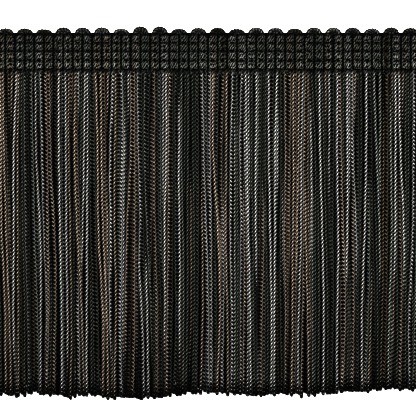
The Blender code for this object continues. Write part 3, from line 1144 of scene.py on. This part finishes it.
    def curls(self) -> list[bpy.types.Object]:
        """The coloured chainettes that curl up in each column's cells.

        Two stand side by side in each column, rise and part with the cells' swell, and
        drift a little from side to side.

        Returns:
            The pieces, one for each yarn.
        """
        chance = np.random.default_rng(self.seed)
        groups: dict[Yarn, Strands] = {}
        rows = np.linspace(75.0, 34.9, 90)
        swell = self.cell_swell(rows)
        for centre in self.centres():
            for side in (-0.25, 0.25):
                x = centre + side * self.pitch
                column = PHOTO.middle_column + x / PHOTO.pixel
                for yarn, hand in zip(self.column_yarns(column), (-1, 1)):
                    spread = (0.34 + 0.16 * swell) * MM * hand
                    drift = 0.12 * MM * np.sin(rows * 0.21 + chance.uniform(0.0, 6.0))
                    level = (1.35 + 1.00 * swell) * MM
                    line = np.stack((x + spread + drift, PHOTO.y(rows), level), 1)
                    rings, along, light = self.knit(self.curl, line, chance)
                    # The stitches' painted light, dimmed overall, with painted shade in the cinched rows
                    # and towards the top.
                    shade = 0.44 * light * self.depth(rings) * self.rank(rings)
                    tint = chance.uniform(-0.15, 0.15)
                    groups.setdefault(yarn, Strands()).add(rings, along, tint, shade)
        return [
            put(f"{yarn.name.lower()}_heading_curls", strands, FINISHES[yarn], "heading")
            for yarn, strands in groups.items()
        ]

    def flanks(self) -> bpy.types.Object:
        """The dark chainettes up both sides of each column, bowed out in each cell.

        Returns:
            The piece that they make together.
        """
        chance = np.random.default_rng(self.seed + 2)
        strands = Strands()
        rows = np.linspace(74.0, 36.0, 80)
        swell = self.cell_swell(rows)
        for column in np.arange(2 * self.scallops) - self.scallops + 0.5:
            for hand in (-1, 1):
                out = (2.65 + 0.35 * swell) * PHOTO.pixel * hand
                level = (1.55 + 0.40 * swell) * MM
                line = np.stack((column * self.pitch / 2 + out, PHOTO.y(rows), level), 1)
                rings, along, light = self.knit(self.flank, line, chance)
                # The stitches' painted light, with painted shade towards the top.
                strands.add(rings, along, chance.uniform(-0.1, 0.4), light * self.rank(rings) * 0.95)
        return put("column_side_cords", strands, FINISHES[Yarn.DARK], "heading")

    def loop_line(self, number: int, nest: Nest) -> np.ndarray:
        """One loop's line, about its scallop's middle.

        It comes up beside a column, goes round a half ellipse over the scallop and down
        beside the other column. A split scallop's loops are pinched at their crests.

        Args:
            number: the scallop's number.
            nest: the loop's sizes.

        Returns:
            The line's points.
        """
        rows = np.linspace(38.5, self.arch_row, 10)
        out = nest.arch + (nest.below - nest.arch) * smooth_step((rows - self.arch_row) / 4.5)
        up = np.stack((-out * PHOTO.pixel, PHOTO.y(rows), np.full(10, nest.level)), 1)
        angle = np.linspace(math.pi, 0.0, 24)[1:-1]
        pinch = 0.16 if number in self.split_scallops else 0.0
        bow = 1.0 - pinch * np.exp(-((angle - math.pi / 2.2) / 0.28) ** 2)
        high = self.arch_row - self.crest_rows[number] + 0.5
        rise = (high * nest.arch / self.nests[0].arch - 0.9) * bow
        arch = np.stack((
            nest.arch * np.cos(angle) * PHOTO.pixel,
            PHOTO.y(self.arch_row - rise * np.sin(angle)),
            nest.level - 0.25 * MM * np.sin(angle),
        ), 1)
        return np.vstack((up, arch, up[::-1] * (-1.0, 1.0, 1.0)))

    def loops(self) -> list[bpy.types.Object]:
        """The chainettes that arch over each scallop, nested inside each other.

        Their painted light is highest on top of the yarn and falls to a quarter below the arch, and how
        much each one gleams, as a painted highlight, is left to chance. The second and fourth are grey,
        or brown over some scallops, and the others are dark.

        Returns:
            The pieces, one for each yarn.
        """
        chance = np.random.default_rng(self.seed + 1)
        groups: dict[Yarn, Strands] = {}
        for number, centre in enumerate(self.centres()):
            light_yarn = Yarn.BROWN if number in self.tan_scallops else Yarn.GREY
            for nest in self.nests:
                line = self.loop_line(number, nest) + (centre, 0.0, 0.0)
                turn = (chance.uniform(0.0, math.tau), 0.5, chance.uniform(0.0, math.tau))
                rings, along, _ = self.loop.tube(Route(line, (0.0, 0.0, 1.0)), turn, 1)
                # Painted light on top of the yarn and near the crest, painted shade below it, and a
                # painted gleam of each loop's own strength.
                top = smooth_step((rings[..., 2] - nest.level + 0.35 * MM) / (0.80 * MM))
                crest = smooth_step((rings[..., 1] - PHOTO.y(35.0)) / (1.6 * MM))
                gleam = nest.light * chance.uniform(0.5, 1.5)
                shade = (0.02 + 0.98 * top) * gleam * (0.25 + 0.75 * crest)
                yarn = light_yarn if nest.light_yarn else Yarn.DARK
                groups.setdefault(yarn, Strands()).add(rings, along, chance.uniform(-0.2, 0.2), shade)
        return [
            put(f"{yarn.name.lower()}_scallop_loops", strands, FINISHES[yarn], "heading")
            for yarn, strands in groups.items()
        ]

    def bindings(self) -> list[bpy.types.Object]:
        """The chains of black thread, one for each binding row.

        A chain rises over each column's middle as exp(-d^4) and dips into the gaps
        beside it.

        Returns:
            The pieces, one for each row.
        """
        pieces = []
        span = self.scallops * self.pitch
        x = np.linspace(-span / 2 + 0.3 * MM, span / 2 - 0.3 * MM, 1600)
        phase = (x / self.pitch + self.scallops / 2) * 2.0 % 1.0
        for number, row in enumerate(self.binding_rows):
            broad = 0.30 if number == 0 else 0.24
            over = np.exp(-((phase - 0.5) / broad) ** 4)
            level = (1.15 + 1.25 * over) * MM
            line = np.stack((x, np.full_like(x, PHOTO.y(row)), level), 1)
            strands = Strands()
            # The thread's painted light and shade, from its stitches' facing and crevices.
            rings, along, light = self.thread.tube(Route(line, (0.0, 1.0, 0.0)), (0.0, 0.0, 0.0), 1)
            strands.add(rings, along, 0.0, light)
            name = f"binding_chain_{number + 1}"
            pieces.append(put(name, strands, FINISHES[Yarn.THREAD], "heading"))
        return pieces

    def build(self) -> list[bpy.types.Object]:
        """Make the heading's pieces.

        Returns:
            The ground and the pieces on it.
        """
        ground = self.ground()
        others = [*self.curls(), self.flanks(), *self.loops(), *self.bindings()]
        return [ground, *others]


@dataclass(frozen=True)
class GroundFinish:
    """The heading's knitted ground: dark yarn, with its stitches as bump and as painted shade, darker in
    their hollows.
    """

    wale: float = 0.99 * MM
    course: float = 0.90 * MM
    hollow: tuple[float, float, float, float] = srgb(3, 4, 3)
    crown: tuple[float, float, float, float] = srgb(18, 20, 18)

    def material(self) -> bpy.types.Material:
        """Build the material: a sine along Y whose phase is bent by |sine| along X, as bump and as
        painted shade in the stitches' hollows.

        Returns:
            The material.
        """
        made = bpy.data.materials.new("dark_knitted_ground")
        made.use_nodes = True
        nodes = Nodes(made.node_tree)
        shader = made.node_tree.nodes["Principled BSDF"]
        shader.inputs["Roughness"].default_value = 0.85
        shader.inputs["Specular IOR Level"].default_value = 0.05
        place = nodes.add("ShaderNodeTexCoord")
        split = nodes.add("ShaderNodeSeparateXYZ")
        nodes.join(place.outputs["Object"], split.inputs[0])
        across = nodes.math("MULTIPLY", split.outputs["X"], math.tau / self.wale)
        wave = nodes.math("ABSOLUTE", nodes.math("SINE", across, 0.0), 0.0)
        bend = nodes.math("MULTIPLY", wave, 2.2)
        along = nodes.math("MULTIPLY", split.outputs["Y"], math.tau / self.course)
        stitch = nodes.math("SINE", nodes.math("ADD", along, bend), 0.0)
        height = nodes.math("MULTIPLY_ADD", stitch, 0.5)
        height.node.inputs[2].default_value = 0.5
        # Painted shade: the stitches' hollows darker and their crowns lighter.
        nodes.join(nodes.mix(height, self.hollow, self.crown), shader.inputs["Base Color"])
        bump = nodes.add("ShaderNodeBump")
        bump.inputs["Strength"].default_value = 0.8
        bump.inputs["Distance"].default_value = 0.1 * MM
        nodes.join(height, bump.inputs["Height"])
        nodes.join(bump.outputs["Normal"], shader.inputs["Normal"])
        return made


@dataclass
class Studio:
    """A pale floor, soft light and a camera straight above the trim."""

    camera_height: float = 1.2
    floor_side: float = 5.0
    gamma: float = 0.54
    surroundings: float = 1.2
    floor_glow: float = 0.55
    key_power: float = 49.0
    fill_power: float = 15.0

    def floor(self) -> None:
        """A plain pale floor, just under the trim."""
        bpy.ops.mesh.primitive_plane_add(size=self.floor_side, location=(0.0, 0.0, -0.05 * MM))
        floor = bpy.context.object
        floor.name = "pale_floor"
        paint = bpy.data.materials.new("pale_floor")
        paint.use_nodes = True
        shader = paint.node_tree.nodes["Principled BSDF"]
        shader.inputs["Base Color"].default_value = (0.93, 0.93, 0.93, 1.0)
        shader.inputs["Roughness"].default_value = 0.9
        shader.inputs["Specular IOR Level"].default_value = 0.0
        shader.inputs["Emission Color"].default_value = (1.0, 1.0, 1.0, 1.0)
        shader.inputs["Emission Strength"].default_value = self.floor_glow
        floor.data.materials.append(paint)

    def light(self, name: str, place: tuple[float, float, float], size: float, power: float) -> None:
        """A square soft light that faces the trim.

        Args:
            name: its name.
            place: where it hangs.
            size: its side, in metres.
            power: its power, in watts.
        """
        lamp = bpy.data.lights.new(name, "AREA")
        lamp.size = size
        lamp.energy = power
        holder = bpy.data.objects.new(name, lamp)
        holder.location = place
        towards = -np.array(place)
        tilt = math.atan2(math.hypot(towards[0], towards[1]), -towards[2])
        heading = math.atan2(towards[1], towards[0]) - math.pi / 2
        holder.rotation_euler = (tilt, 0.0, heading)
        bpy.context.scene.collection.objects.link(holder)

    def camera(self) -> None:
        """The camera, level with the photograph's own frame: straight down, +Y up."""
        eye = bpy.data.cameras.new("camera")
        eye.sensor_width = 36.0
        width = PHOTO.size * PHOTO.pixel
        eye.lens = eye.sensor_width * self.camera_height / width
        eye.clip_start = 0.01
        holder = bpy.data.objects.new("camera", eye)
        holder.location = (0.0, PHOTO.y(PHOTO.size / 2), self.camera_height)
        bpy.context.scene.collection.objects.link(holder)
        bpy.context.scene.camera = holder

    def build(self) -> None:
        """Set the stage."""
        scene = bpy.context.scene
        scene.view_settings.view_transform = "Standard"
        scene.view_settings.gamma = self.gamma
        world = bpy.data.worlds.new("studio")
        world.use_nodes = True
        back = world.node_tree.nodes["Background"]
        back.inputs["Color"].default_value = (1.0, 1.0, 1.0, 1.0)
        back.inputs["Strength"].default_value = self.surroundings
        scene.world = world
        self.floor()
        self.light("key", (-0.30, 0.50, 1.3), 0.8, self.key_power)
        self.light("fill", (0.9, -0.4, 1.2), 1.0, self.fill_power)
        self.camera()


def main() -> None:
    """Load the frame, build the trim and its stage, and log the frame's nodes and the pieces' triangles.
    """
    logging.basicConfig(level=logging.INFO, format="%(message)s")
    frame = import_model()
    LOG.info("nodes: %s", ", ".join(sorted(frame["nodes"])))
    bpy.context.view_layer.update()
    pieces = [*Fringe().build(), *Heading().build()]
    LOG.info("%d pieces, %d triangles", len(pieces), sum(triangles(piece.data) for piece in pieces))
    Studio().build()


if __name__ == "__main__":
    main()
